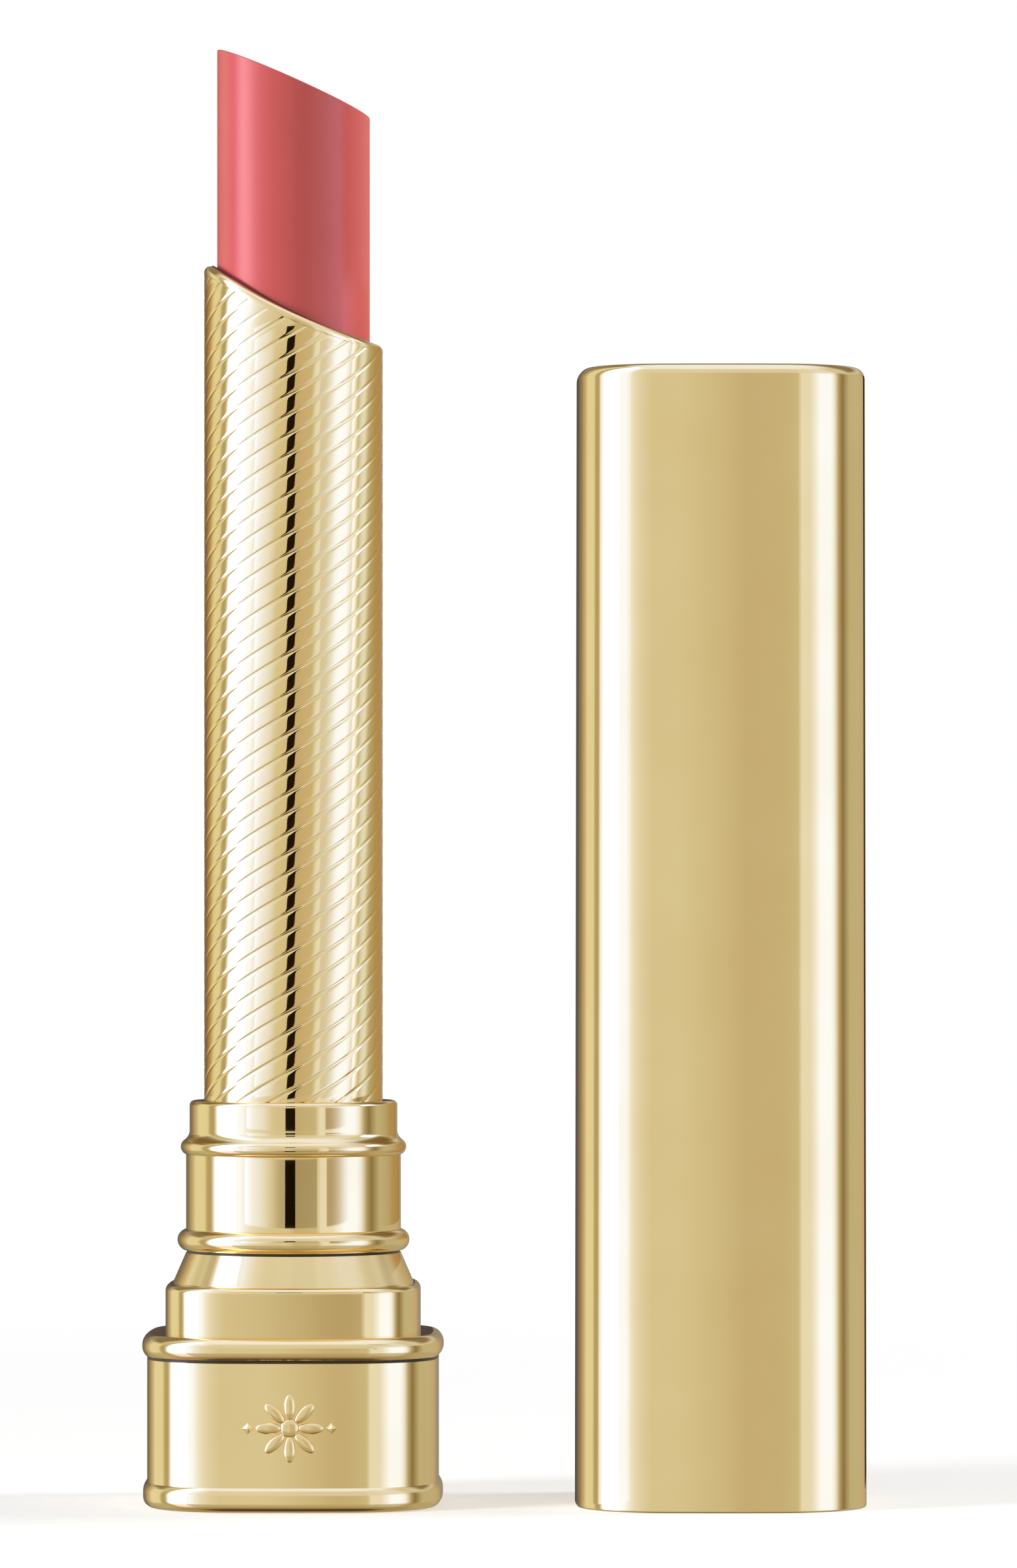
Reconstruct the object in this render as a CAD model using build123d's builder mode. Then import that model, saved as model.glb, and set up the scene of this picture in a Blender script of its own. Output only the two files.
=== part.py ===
"""Twist-up lipstick case: square base, round collar, engraved slant-top sleeve, bullet and cap.

Millimetres. The origin is the centre of the base's underside, +Z is up, and the face that
carries the ornament looks along -Y. The cap stands on the same surface, beside the base on +X.
The bullet is part way out: the lift mechanism can draw it in or push it further out.
"""
from build123d import *
import os
from math import sqrt

# ---- Driving dimensions -------------------------------------------------------------------
# Rounded-square section shared by the base and the cap
body_half = 9.0             # half the width across the flats
side_radius = 60.0          # the four sides bow outwards gently
corner_radius = 5.5

# Base
seat_z = 10.6               # top of the seat that the cap's mouth closes on
seat_bead_height = 1.5
seat_bead_proud = 0.3
foot_bead_height = 1.75
foot_bead_proud = 0.25
base_wall = 0.6
seat_web = 1.0              # thickness of the seat around the plug
plug_inset = 1.13           # plug's face behind the base's face
plug_top = 13.6
plug_flange_inset = 0.75
plug_flange_height = 1.0
plate_thickness = 1.0
weight_thickness = 1.9
core_floor = 1.2
label_radius = 5.5
label_thickness = 0.1

# Cone above the plug, and the gap where the collar turns on it
cone_base_radius = 7.45
neck_radius = 6.64
cone_top = 15.46
washer_thickness = 0.12
turning_gap = 0.04

# Collar
tube_radius = 6.64
low_ring_z = 16.25
low_ring_radius = 7.17
low_ring_minor = 0.68
high_ring_z = 21.99
high_ring_radius = 6.97
high_ring_minor = 0.5
collar_radius = 6.42
flare_z = 23.0
collar_top = 24.85
collar_edge = 0.3
collar_bore = 6.0
collar_lip = 0.5

# Engraved sleeve
sleeve_radius = 5.52
sleeve_wall = 0.3
sleeve_bottom = 17.0
lip_inner_radius = 5.05
lip_depth = 0.6
rim_high_z = 76.4           # rim height at -X, in the middle and at +X
rim_mid_z = 73.28
rim_low_z = 71.49

# Lift mechanism
lead = 18.0                 # lift for one full turn
lift_down = 15.5            # travel from the modelled pose to fully in
lift_up = 11.5              # and to fully out
cam_radius = 5.0
cam_bore = 4.4
cam_slot_width = 2.1
guide_radius = 4.3
guide_bore = 3.95
guide_slot_width = 2.0
guide_flange_top = 38.2
guide_flange = 1.0
lug_radius = 0.9
lug_reach = 4.85
lug_z = 22.9
stem_radius = 3.8
stem_bore = 2.9

# Cup and bullet
cup_radius = 4.98
cup_height = 7.0
cup_floor = 0.8
bullet_radius = 4.72
bullet_high_z = 89.8        # tip height at -X and at +X
bullet_low_z = 85.6

# Cap
cap_offset = 26.4           # from the base's axis to the cap's axis
cap_height = 69.9
cap_wall = 0.55
cap_end = 0.8
cap_edge = 0.5
liner_wall = 0.45
liner_end = 0.8
liner_mouth = 0.4
liner_end_gap = 0.2
rib_width = 0.6
rib_height = 0.12
rib_length = 5.2
rib_spread = 3.5

# Skirt of the collar's bush, with the rings that hold it and give it drag
skirt_radius = 6.2
skirt_bore = 5.25
skirt_bottom = 11.2
plug_bore = 6.3
ledge_z = 11.0
clip_z = 12.5
clip_height = 0.6
clip_inner = 5.95
clip_outer = 6.7
clip_groove_radius = 5.85
clip_groove_height = 1.0
clip_gap = 1.4
drag_z = 14.3
drag_minor = 0.3
drag_major = 5.97
drag_groove_radius = 5.66
drag_groove_height = 0.68

# ---- Derived dimensions -------------------------------------------------------------------
washer_top = cone_top + washer_thickness
collar_bottom = washer_top + turning_gap
cavity_top = seat_z - seat_web
core_bottom = plate_thickness + weight_thickness
cam_bottom = core_bottom + core_floor
cam_top = guide_flange_top - guide_flange - 0.3
guide_bottom = cam_bottom + 0.6
cup_bottom = guide_flange_top + lift_down + 0.2
stem_bottom = lug_z - lug_radius - 0.4
slot_low = lug_z - lift_down
slot_high = lug_z + lift_up
cam_mid = (cam_radius + cam_bore) / 2
tall = 100.0                # longer than anything it cuts

os.makedirs("parts", exist_ok=True)


def cushion(inset):
    """The rounded square with bowed sides, moved in by inset."""
    half = body_half - inset
    centre = side_radius - body_half
    corner = (sqrt(2 * (side_radius - inset) ** 2 - centre**2) - centre) / 2
    with BuildSketch() as outline:
        with BuildLine():
            ThreePointArc((-corner, -corner), (0, -half), (corner, -corner))
            ThreePointArc((corner, -corner), (half, 0), (corner, corner))
            ThreePointArc((corner, corner), (0, half), (-corner, corner))
            ThreePointArc((-corner, corner), (-half, 0), (-corner, -corner))
        make_face()
        fillet(outline.vertices(), corner_radius - inset)
    return outline.sketch


def rolled_bar(inset, bottom, height, lower_roll, upper_roll):
    """A rounded-square slab whose outer edges are rolled into a bead."""
    with BuildPart() as bar:
        with BuildSketch(Plane.XY.offset(bottom)):
            add(cushion(inset))
        extrude(amount=height)
        fillet(bar.faces().sort_by(Axis.Z)[0].edges(), lower_roll)
        fillet(bar.faces().sort_by(Axis.Z)[-1].edges(), upper_roll)
    return bar.part


def above_rim(drop):
    """Everything above the scooped rim line, which is lowered by drop."""
    reach = sleeve_radius
    with BuildPart() as region:
        with BuildSketch(Plane.XZ):
            with BuildLine():
                ThreePointArc((-reach, rim_high_z - drop), (0, rim_mid_z - drop), (reach, rim_low_z - drop))
                Line((reach, rim_low_z - drop), (reach, tall))
                Line((reach, tall), (-reach, tall))
                Line((-reach, tall), (-reach, rim_high_z - drop))
            make_face()
        extrude(amount=2 * reach, both=True)
    return region.part


# ---- Base ---------------------------------------------------------------------------------
foot_bead = rolled_bar(-foot_bead_proud, 0, foot_bead_height, 0.6, 0.85)
seat_bead = rolled_bar(
    -seat_bead_proud, seat_z - seat_bead_height, seat_bead_height, 0.7, 0.7
)

with BuildPart() as base_shell:
    with BuildSketch(Plane.XY.offset(foot_bead_height / 2)):
        add(cushion(0))
    extrude(amount=seat_z - seat_bead_height / 2 - foot_bead_height / 2)
    add(foot_bead)
    add(seat_bead)
    with BuildSketch():
        add(cushion(base_wall))
    extrude(amount=cavity_top, mode=Mode.SUBTRACT)
    with BuildSketch(Plane.XY.offset(cavity_top)):
        add(cushion(plug_inset))
    extrude(amount=seat_web, mode=Mode.SUBTRACT)
base_shell.part.label = "base_shell"
export_step(base_shell.part, "parts/base_shell.step")

# Raised ornament on the front: an eight-petal rosette between two small diamonds
ornament_z = 5.15
ornament_proud = 0.22
petal_radius = 1.28
diamond_x = 2.55

with BuildPart() as base_ornament:
    with BuildSketch(Plane.XZ.offset(body_half - base_wall / 2)):
        with Locations((0, ornament_z)):
            Circle(0.62)
            with PolarLocations(petal_radius, 8):
                Ellipse(0.82, 0.36)
        with Locations((-diamond_x, ornament_z), (diamond_x, ornament_z)):
            Rectangle(0.5, 0.5, rotation=45)
    extrude(amount=base_wall / 2 + ornament_proud)
    add(base_shell.part, mode=Mode.SUBTRACT)
base_ornament.part.label = "base_ornament"
export_step(base_ornament.part, "parts/base_ornament.step")

# Square plug that the cap closes over, with the cone that meets the collar
with BuildPart() as cap_plug:
    with BuildSketch(Plane.XY.offset(cavity_top)):
        add(cushion(plug_inset))
    extrude(amount=plug_top - cavity_top)
    fillet(cap_plug.faces().sort_by(Axis.Z)[-1].edges(), 0.4)
    with BuildSketch(Plane.XY.offset(cavity_top - plug_flange_height)):
        add(cushion(plug_flange_inset))
    extrude(amount=plug_flange_height)
    with BuildSketch(Plane.XZ):
        with BuildLine():
            Polyline(
                (0, plug_top),
                (cone_base_radius, plug_top),
                (neck_radius, cone_top),
                (0, cone_top),
                close=True,
            )
        make_face()
    revolve(axis=Axis.Z)
    with Locations((0, 0, ledge_z)):
        Cylinder(plug_bore, tall, align=(Align.CENTER, Align.CENTER, Align.MIN), mode=Mode.SUBTRACT)
    with Locations((0, 0, clip_z)):
        Cylinder(clip_outer, clip_height, mode=Mode.SUBTRACT)
    Cylinder(cam_radius, tall, mode=Mode.SUBTRACT)
cap_plug.part.label = "cap_plug"
export_step(cap_plug.part, "parts/cap_plug.step")

with BuildPart() as base_core:
    with BuildSketch(Plane.XY.offset(core_bottom)):
        add(cushion(base_wall))
    extrude(amount=cavity_top - plug_flange_height - core_bottom)
    with Locations((0, 0, cam_bottom)):
        Cylinder(cam_radius, tall, align=(Align.CENTER, Align.CENTER, Align.MIN), mode=Mode.SUBTRACT)
base_core.part.label = "base_core"
export_step(base_core.part, "parts/base_core.step")

with BuildPart() as base_weight:
    with BuildSketch(Plane.XY.offset(plate_thickness)):
        add(cushion(base_wall))
    extrude(amount=weight_thickness)
base_weight.part.label = "base_weight"
export_step(base_weight.part, "parts/base_weight.step")

with BuildPart() as base_plate:
    with BuildSketch():
        add(cushion(base_wall))
    extrude(amount=plate_thickness)
    Cylinder(label_radius, 2 * label_thickness, mode=Mode.SUBTRACT)
base_plate.part.label = "base_plate"
export_step(base_plate.part, "parts/base_plate.step")

# Blank shade label, let into the underside so that it is flush
with BuildPart() as shade_label:
    Cylinder(label_radius, label_thickness, align=(Align.CENTER, Align.CENTER, Align.MIN))
shade_label.part.label = "shade_label"
export_step(shade_label.part, "parts/shade_label.step")

# Open ring, sprung into the plug's groove, that keeps the collar from pulling off the base
with BuildPart() as retaining_clip:
    with BuildSketch(Plane.XY.offset(clip_z - clip_height / 2)):
        Circle(clip_outer)
        Circle(clip_inner, mode=Mode.SUBTRACT)
        with Locations((0, clip_outer)):
            Rectangle(clip_gap, clip_outer, mode=Mode.SUBTRACT)
    extrude(amount=clip_height)
retaining_clip.part.label = "retaining_clip"
export_step(retaining_clip.part, "parts/retaining_clip.step")

with BuildPart() as glide_washer:
    with BuildSketch(Plane.XY.offset(cone_top)):
        Circle(neck_radius - 0.05)
        Circle(plug_bore, mode=Mode.SUBTRACT)
    extrude(amount=washer_thickness)
glide_washer.part.label = "glide_washer"
export_step(glide_washer.part, "parts/glide_washer.step")

# ---- Spiral cam: fixed in the base, with two helical slots --------------------------------
slot_turn = 360 * (lug_z - slot_low) / lead
slot_path = Helix(pitch=lead, height=slot_high - slot_low, radius=cam_mid)
slot_path = slot_path.moved(Location((0, 0, slot_low), (0, 0, -slot_turn)))
slot_start = slot_path @ 0

with BuildPart() as cam_slot:
    with BuildSketch(Plane(slot_start, Vector(slot_start.X, slot_start.Y, 0), slot_path % 0)):
        Rectangle(2.0, cam_slot_width)
    sweep(path=slot_path, is_frenet=True)

with BuildPart() as spiral_cam:
    with BuildSketch(Plane.XY.offset(cam_bottom)):
        Circle(cam_radius)
        Circle(cam_bore, mode=Mode.SUBTRACT)
    extrude(amount=cam_top - cam_bottom)
    for start in (0, 180):
        add(cam_slot.part.rotate(Axis.Z, start), mode=Mode.SUBTRACT)
    for slot_end in (slot_path @ 0, slot_path @ 1):
        with Locations(Plane(slot_end, z_dir=Vector(slot_end.X, slot_end.Y, 0))):
            Cylinder(cam_slot_width / 2, 4 * cam_radius, mode=Mode.SUBTRACT)
spiral_cam.part.label = "spiral_cam"
export_step(spiral_cam.part, "parts/spiral_cam.step")

# ---- Collar and sleeve: these turn on the base --------------------------------------------
low_ring_centre = low_ring_radius - low_ring_minor
high_ring_centre = high_ring_radius - high_ring_minor


def ring_height(centre, minor, radius):
    """Half the height of a ring bead where it meets a cylinder of the given radius."""
    return sqrt(minor**2 - (radius - centre) ** 2)


low_half = ring_height(low_ring_centre, low_ring_minor, tube_radius)
high_half = ring_height(high_ring_centre, high_ring_minor, tube_radius)

with BuildPart() as stepped_collar:
    with BuildSketch(Plane.XZ):
        with BuildLine():
            Polyline((collar_bore, collar_bottom), (neck_radius - 0.12, collar_bottom))
            Line((neck_radius - 0.12, collar_bottom), (tube_radius, low_ring_z - low_half))
            ThreePointArc(
                (tube_radius, low_ring_z - low_half),
                (low_ring_radius, low_ring_z),
                (tube_radius, low_ring_z + low_half),
            )
            Line((tube_radius, low_ring_z + low_half), (tube_radius, high_ring_z - high_half))
            ThreePointArc(
                (tube_radius, high_ring_z - high_half),
                (high_ring_radius, high_ring_z),
                (tube_radius + 0.1, high_ring_z + high_half),
            )
            ThreePointArc(
                (tube_radius + 0.1, high_ring_z + high_half),
                (collar_radius + 0.07, flare_z - 0.25),
                (collar_radius, flare_z),
            )
            Line((collar_radius, flare_z), (collar_radius, collar_top))
            Line((collar_radius, collar_top), (sleeve_radius, collar_top))
            Line((sleeve_radius, collar_top), (sleeve_radius, collar_top - collar_lip))
            Line((sleeve_radius, collar_top - collar_lip), (collar_bore, collar_top - collar_lip))
            Line((collar_bore, collar_top - collar_lip), (collar_bore, collar_bottom))
        make_face()
    revolve(axis=Axis.Z)
    collar_rim = stepped_collar.edges().filter_by(GeomType.CIRCLE).group_by(Axis.Z)[-1]
    fillet(collar_rim.sort_by(SortBy.RADIUS)[-1], collar_edge)
stepped_collar.part.label = "stepped_collar"
export_step(stepped_collar.part, "parts/stepped_collar.step")

# Plastic bush between the collar and the sleeve; its skirt hangs inside the plug
with BuildPart() as collar_bush:
    with BuildSketch(Plane.XY.offset(skirt_bottom)):
        Circle(skirt_radius)
    extrude(amount=collar_bottom - skirt_bottom)
    with BuildSketch(Plane.XY.offset(collar_bottom)):
        Circle(collar_bore)
    extrude(amount=collar_top - collar_lip - collar_bottom)
    Cylinder(skirt_bore, tall, mode=Mode.SUBTRACT)
    with Locations((0, 0, sleeve_bottom)):
        Cylinder(sleeve_radius, tall, align=(Align.CENTER, Align.CENTER, Align.MIN), mode=Mode.SUBTRACT)
    for groove_z, groove_radius, groove_height in (
        (clip_z, clip_groove_radius, clip_groove_height),
        (drag_z, drag_groove_radius, drag_groove_height),
    ):
        with BuildSketch(Plane.XY.offset(groove_z - groove_height / 2)):
            Circle(skirt_radius + 0.1)
            Circle(groove_radius, mode=Mode.SUBTRACT)
        extrude(amount=groove_height, mode=Mode.SUBTRACT)
collar_bush.part.label = "collar_bush"
export_step(collar_bush.part, "parts/collar_bush.step")

with BuildPart() as drag_ring:
    with BuildSketch(Plane.XZ):
        with Locations((drag_major, drag_z)):
            Circle(drag_minor)
    revolve(axis=Axis.Z)
drag_ring.part.label = "drag_ring"
export_step(drag_ring.part, "parts/drag_ring.step")

# The sleeve's wall is thin, with a thicker rolled lip along its scooped rim
with BuildPart() as sleeve_bore:
    with Locations((0, 0, sleeve_bottom)):
        Cylinder(
            sleeve_radius - sleeve_wall, tall, align=(Align.CENTER, Align.CENTER, Align.MIN)
        )
    add(above_rim(lip_depth), mode=Mode.SUBTRACT)

with BuildPart() as engraved_sleeve:
    with BuildSketch(Plane.XY.offset(sleeve_bottom)):
        Circle(sleeve_radius)
        Circle(lip_inner_radius, mode=Mode.SUBTRACT)
    extrude(amount=rim_high_z + 1 - sleeve_bottom)
    add(sleeve_bore.part, mode=Mode.SUBTRACT)
    add(above_rim(0), mode=Mode.SUBTRACT)
engraved_sleeve.part.label = "engraved_sleeve"
export_step(engraved_sleeve.part, "parts/engraved_sleeve.step")

# Guide tube with two straight slots, hung from the sleeve's wall by its flange
with BuildPart() as guide_tube:
    with BuildSketch(Plane.XY.offset(guide_bottom)):
        Circle(guide_radius)
    extrude(amount=guide_flange_top - guide_bottom)
    with BuildSketch(Plane.XY.offset(guide_flange_top - guide_flange)):
        Circle(sleeve_radius - sleeve_wall)
    extrude(amount=guide_flange)
    Cylinder(guide_bore, tall, mode=Mode.SUBTRACT)
    slot_margin = lug_radius + 0.35
    with Locations((0, 0, slot_low - slot_margin)):
        Box(
            4 * guide_radius,
            guide_slot_width,
            slot_high - slot_low + 2 * slot_margin,
            align=(Align.CENTER, Align.CENTER, Align.MIN),
            mode=Mode.SUBTRACT,
        )
guide_tube.part.label = "guide_tube"
export_step(guide_tube.part, "parts/guide_tube.step")

# ---- Carrier: rises and falls inside the sleeve -------------------------------------------
with BuildPart() as carrier_stem:
    with BuildSketch(Plane.XY.offset(stem_bottom)):
        Circle(stem_radius)
        Circle(stem_bore, mode=Mode.SUBTRACT)
    extrude(amount=cup_bottom - stem_bottom)
    for side in (-1, 1):
        lug_root = Vector(side * (stem_bore + 0.1), 0, lug_z)
        with BuildSketch(Plane(lug_root, x_dir=(0, 1, 0), z_dir=(side, 0, 0))):
            Circle(lug_radius)
        extrude(amount=lug_reach - stem_bore - 0.1)
carrier_stem.part.label = "carrier_stem"
export_step(carrier_stem.part, "parts/carrier_stem.step")

with BuildPart() as bullet_cup:
    with BuildSketch(Plane.XY.offset(cup_bottom)):
        Circle(cup_radius)
    extrude(amount=cup_height)
    with Locations((0, 0, cup_bottom + cup_floor)):
        Cylinder(bullet_radius, tall, align=(Align.CENTER, Align.CENTER, Align.MIN), mode=Mode.SUBTRACT)
bullet_cup.part.label = "bullet_cup"
export_step(bullet_cup.part, "parts/bullet_cup.step")

with BuildPart() as bullet:
    with BuildSketch(Plane.XZ):
        with BuildLine():
            Polyline(
                (-bullet_radius, cup_bottom + cup_floor),
                (bullet_radius, cup_bottom + cup_floor),
                (bullet_radius, bullet_low_z),
                (-bullet_radius, bullet_high_z),
                close=True,
            )
        make_face()
    extrude(amount=2 * bullet_radius, both=True)
    Cylinder(bullet_radius, 2 * tall, mode=Mode.INTERSECT)
bullet.part.label = "bullet"
export_step(bullet.part, "parts/bullet.step")

# ---- Cap: stands beside the base, mouth down ----------------------------------------------
cap_place = Location((cap_offset, 0, 0))

with BuildPart() as cap_shell:
    with BuildSketch():
        add(cushion(0))
    extrude(amount=cap_height)
    fillet(cap_shell.faces().sort_by(Axis.Z)[-1].edges(), cap_edge)
    with BuildSketch():
        add(cushion(cap_wall))
    extrude(amount=cap_height - cap_end, mode=Mode.SUBTRACT)
cap_shell.part.label = "cap_shell"
cap_shell.part.locate(cap_place)
export_step(cap_shell.part, "parts/cap_shell.step")

liner_inset = cap_wall + liner_wall
liner_top = cap_height - cap_end - liner_end_gap

with BuildPart() as cap_liner:
    with BuildSketch(Plane.XY.offset(liner_mouth)):
        add(cushion(cap_wall))
    extrude(amount=liner_top - liner_mouth)
    with BuildSketch(Plane.XY.offset(liner_mouth)):
        add(cushion(liner_inset))
    extrude(amount=liner_top - liner_end - liner_mouth, mode=Mode.SUBTRACT)
    # Eight low ribs grip the plug, two on each side
    with PolarLocations(body_half - liner_inset - rib_height / 2, 4):
        with Locations((0, -rib_spread), (0, rib_spread)):
            with Locations((0, 0, liner_mouth + 0.4)):
                Box(rib_height * 3, rib_width, rib_length, align=(Align.CENTER, Align.CENTER, Align.MIN))
cap_liner.part.label = "cap_liner"
cap_liner.part.locate(cap_place)
export_step(cap_liner.part, "parts/cap_liner.step")
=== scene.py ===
"""Looks of the twist-up lipstick case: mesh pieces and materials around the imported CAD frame.

The mesh code works in millimetres, and new_piece scales it to metres. A section is a list of
(out, z) points: out is the distance outwards from the body's faces, or the radius.
"""
from math import atan2, ceil, cos, hypot, pi, radians, sin, sqrt

import bmesh
import bpy
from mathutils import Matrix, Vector


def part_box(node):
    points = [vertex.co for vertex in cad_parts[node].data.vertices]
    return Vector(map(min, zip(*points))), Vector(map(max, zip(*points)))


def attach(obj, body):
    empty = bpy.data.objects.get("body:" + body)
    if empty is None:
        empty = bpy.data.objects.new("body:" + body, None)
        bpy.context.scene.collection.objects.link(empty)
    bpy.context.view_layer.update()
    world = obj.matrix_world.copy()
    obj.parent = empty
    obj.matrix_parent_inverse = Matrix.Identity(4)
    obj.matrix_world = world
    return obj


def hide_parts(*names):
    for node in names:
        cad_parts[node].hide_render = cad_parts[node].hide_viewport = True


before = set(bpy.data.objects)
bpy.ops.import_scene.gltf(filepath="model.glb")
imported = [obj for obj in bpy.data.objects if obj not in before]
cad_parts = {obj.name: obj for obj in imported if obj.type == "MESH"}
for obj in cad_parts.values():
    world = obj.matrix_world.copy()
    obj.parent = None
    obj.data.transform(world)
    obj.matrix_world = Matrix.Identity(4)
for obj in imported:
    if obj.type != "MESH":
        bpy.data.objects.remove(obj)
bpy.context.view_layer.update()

MM = 0.001


def box_mm(node):
    """Lowest and highest corner of a CAD node, in millimetres."""
    low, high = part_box(node)
    return low / MM, high / MM


# ---- Sizes, most of them read from the frame -----------------------------------------------
_, shell_high = box_mm("base_shell")
plug_low, plug_high = box_mm("cap_plug")
collar_low, collar_high = box_mm("stepped_collar")
_, sleeve_high = box_mm("engraved_sleeve")
cup_low, cup_high = box_mm("bullet_cup")
_, bullet_high = box_mm("bullet")
cap_low, cap_high = box_mm("cap_shell")

SEAT_BEAD_PROUD = 0.3
BODY_HALF = shell_high.x - SEAT_BEAD_PROUD
SIDE_RADIUS = 60.0
CORNER_RADIUS = 5.5
SEAT_Z = shell_high.z
SEAT_BEAD_HEIGHT = 1.5
SEAT_BEAD_ROLL = 0.7
FOOT_BEAD_HEIGHT = 1.75
FOOT_BEAD_PROUD = 0.25
FOOT_LOWER_ROLL = 0.6
FOOT_UPPER_ROLL = 0.85
BASE_WALL = 0.6
SEAT_WEB = 1.0
SEAT_CREASE_DEPTH = 0.12                   # depth of the crease under the seat bead; a dark piece in it is painted shade
SEAT_CREASE_HEIGHT = 0.15
CREASE_SHADE_INSET = 0.03                   # how far the dark piece of painted shade stands back from the face
SEAT_CREASE_Z = SEAT_Z - SEAT_BEAD_HEIGHT - 0.03

PLUG_INSET = 1.13
PLUG_TOP = 13.6
PLUG_EDGE = 0.4
PLUG_FLANGE_INSET = 0.75
CONE_BASE_RADIUS = 7.45
NECK_RADIUS = 6.64
PLUG_BORE = 6.3
PLUG_LEDGE_Z = 11.0
PLUG_HOLE = 5.0
FLANGE_EDGE = 0.1

TUBE_RADIUS = 6.64
LOW_RING = (16.25, 7.17, 0.68)      # height, outer radius and bead radius
HIGH_RING = (21.99, 6.97, 0.5)
COLLAR_RADIUS = 6.42
COLLAR_BORE = 6.0
COLLAR_EDGE = 0.3
COLLAR_LIP = 0.5
COLLAR_FOOT_INSET = 0.12
FLARE_STEP = 0.1                    # how far the flare's foot stands out from the tube
FLARE_TOP = 23.0
FLARE_POWER = 2.2
SLEEVE_GAP = 0.01                   # between the collar's lip and the sleeve

SLEEVE_RADIUS = sleeve_high.x
SLEEVE_WALL = 0.3
LIP_INNER_RADIUS = 5.05
LIP_DEPTH = 0.6
LIP_BAND = 0.5                      # width of the plain band along the rim
LIP_ROLL = 0.36
GAP_SHADE_INNER = 5.0                   # painted shade: dark ring inside the lip for the shadow in the gap, clear of the cup
GAP_SHADE_OUTER = 5.04
GAP_SHADE_RISE = 0.05
RIM_HIGH_Z = sleeve_high.z
RIM_MID_Z = 73.28
RIM_LOW_Z = 71.49
GROOVE_STARTS = 16
GROOVE_LEAD = 19.5
GROOVE_WIDTH = 0.34
GROOVE_DEPTH = 0.03
LAND_CROWN = 0.006
GROOVE_PITCH = GROOVE_LEAD / GROOVE_STARTS * cos(atan2(GROOVE_LEAD, 2 * pi * SLEEVE_RADIUS))
SLEEVE_ROW = 0.3                    # height of a row of the sleeve's mesh

CUP_RADIUS = cup_high.x
CUP_WALL = 0.26
CUP_FLOOR = 0.8
CUP_FOOT = 0.6
CUP_AXIS = 0.01                     # radius at which the cup's flat ends close
BULLET_RADIUS = bullet_high.x
BULLET_HIGH_Z = bullet_high.z
BULLET_LOW_Z = 85.6
BULLET_EDGE = 0.09

CAP_X = (cap_low.x + cap_high.x) / 2
CAP_HEIGHT = cap_high.z
CAP_WALL = 0.55
CAP_END = 0.8
CAP_EDGE = 0.7
CAP_MOUTH_ROLL = 0.12
CAP_DRAFT = 0.11

ORNAMENT_Z = 5.15
ORNAMENT_PROUD = 0.22
PETALS = 8
PETAL_RADIUS = 1.28                 # from the rosette's centre to a petal's
PETAL_HALVES = (0.80, 0.35)
ROSETTE_CENTRE = 0.56
DIAMOND_X = 2.55
DIAMOND_HALF = 0.35

CREASE = 0.03                       # distance of a support point from the end of a straight run


# ---- Sections and rings --------------------------------------------------------------------
def arc(centre, radius, start, end, steps=12):
    """Section points along an arc; angles in degrees, 0 pointing outwards and 90 up."""
    turns = [radians(start + (end - start) * i / steps) for i in range(steps + 1)]
    return [(centre[0] + radius * cos(a), centre[1] + radius * sin(a)) for a in turns]


def run(start, end):
    """A straight run with a support point near each end, which keeps its shading flat."""
    length = hypot(end[0] - start[0], end[1] - start[1])
    near = min(CREASE / length, 0.4)
    return [
        tuple(a + (b - a) * t for a, b in zip(start, end)) for t in (0, near, 1 - near, 1)
    ]


def joined(*stretches):
    """One section from several stretches, with the points they share kept once."""
    section = []
    for point in (p for stretch in stretches for p in stretch):
        if not section or hypot(point[0] - section[-1][0], point[1] - section[-1][1]) > 1e-6:
            section.append(point)
    return section


def runs(*corners):
    """Straight runs through the corners."""
    return joined(*(run(a, b) for a, b in zip(corners, corners[1:])))


def square_outline(side_steps=24, corner_steps=44):
    """Points and outward normals around the rounded square with bowed sides."""
    side_centre = SIDE_RADIUS - BODY_HALF
    reach = SIDE_RADIUS - CORNER_RADIUS
    corner_centre = (sqrt(2 * reach**2 - side_centre**2) - side_centre) / 2
    half_side = atan2(corner_centre, side_centre + corner_centre)
    outline = []
    for quarter in range(4):
        middle = quarter * pi / 2
        for i in range(side_steps):
            turn = middle + half_side * (2 * i / side_steps - 1)
            normal = Vector((cos(turn), sin(turn)))
            side = Vector((cos(middle), sin(middle))) * side_centre
            outline.append((normal * SIDE_RADIUS - side, normal))
        for i in range(corner_steps):
            sweep = pi / 2 - 2 * half_side
            turn = middle + half_side + sweep * i / corner_steps
            normal = Vector((cos(turn), sin(turn)))
            diagonal = Vector((cos(middle + pi / 4), sin(middle + pi / 4)))
            centre = diagonal * corner_centre * sqrt(2)
            outline.append((centre + normal * CORNER_RADIUS, normal))
    return outline


OUTLINE = square_outline()


def square_ring(out, z, centre_x=0.0):
    return [(centre_x + p.x + n.x * out, p.y + n.y * out, z) for p, n in OUTLINE]


def round_ring(radius, z, steps=256):
    return [
        (radius * cos(2 * pi * i / steps), radius * sin(2 * pi * i / steps), z)
        for i in range(steps)
    ]


def matched_ring(radius, z):
    """A circle with its points at the same bearings as the square outline's."""
    return [tuple(p.normalized() * radius) + (z,) for p, n in OUTLINE]


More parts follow.
